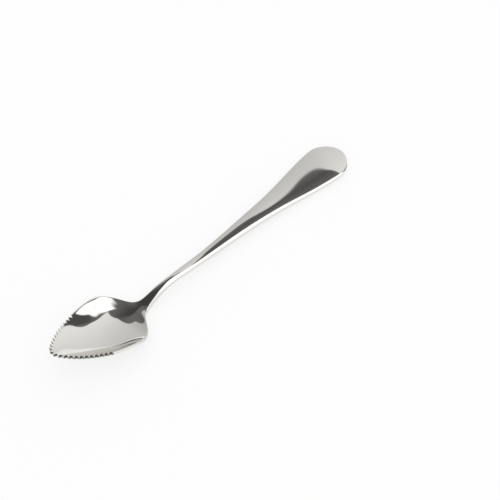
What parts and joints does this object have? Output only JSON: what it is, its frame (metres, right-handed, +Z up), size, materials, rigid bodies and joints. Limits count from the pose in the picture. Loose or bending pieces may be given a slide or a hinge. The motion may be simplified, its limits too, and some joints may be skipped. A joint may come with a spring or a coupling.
{
  "type": "grapefruit spoon",
  "caption": "Stainless steel grapefruit spoon with a pointed bowl, saw teeth along the front of its rim, a slim bent neck and a handle that widens to a rounded end.",
  "frame": {"origin": "on the table, under the middle of the spoon's outer box, as it rests on its bowl and the end of its handle", "axes": "+X from the tip of the bowl to the end of the handle, +Y across the spoon, +Z up, out of the open side of the bowl"},
  "size_m": [0.1599, 0.0294, 0.0181],
  "materials": {
    "polished_steel": "mirror-polished stainless steel"
  },
  "bodies": {
    "root": {"bowl": "polished_steel", "neck": "polished_steel", "handle": "polished_steel"}
  },
  "joints": []
}
